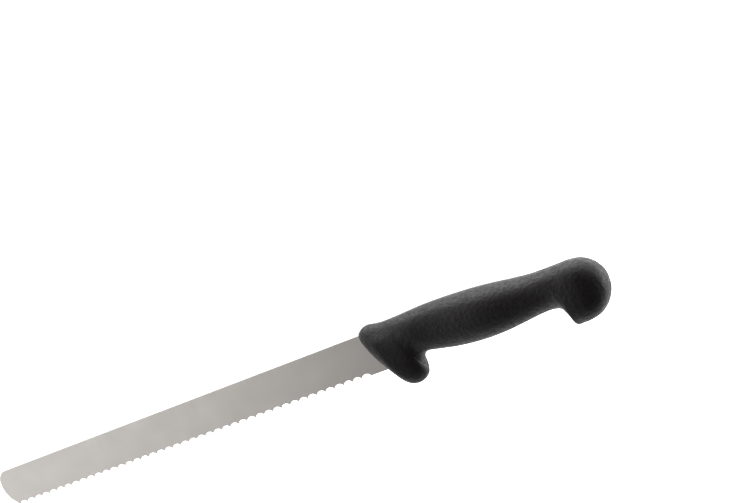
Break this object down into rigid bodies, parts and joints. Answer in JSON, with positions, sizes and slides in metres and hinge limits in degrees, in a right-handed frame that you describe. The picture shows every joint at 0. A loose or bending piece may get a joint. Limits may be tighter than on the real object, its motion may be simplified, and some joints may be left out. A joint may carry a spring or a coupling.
{
  "type": "serrated meat knife",
  "caption": "Long, narrow meat slicing knife with a blunt rounded tip, a scalloped edge and a black moulded handle that has a finger guard and a hooked pommel.",
  "frame": {"origin": "middle of the knife's bounding box", "axes": "+X along the knife towards the butt of the handle, so the tip points along -X; +Y out of the blade's right face, so the plain left face looks along -Y; +Z towards the spine, with the cutting edge down"},
  "size_m": [0.389, 0.0252, 0.037],
  "materials": {
    "blade_steel": "satin, ground across the blade",
    "core_plastic": "plain moulded",
    "grip_plastic": "matt, with a fine moulded texture"
  },
  "bodies": {
    "root": {"blade": "blade_steel", "handle_core": "core_plastic", "handle_grip": "grip_plastic"}
  },
  "joints": []
}
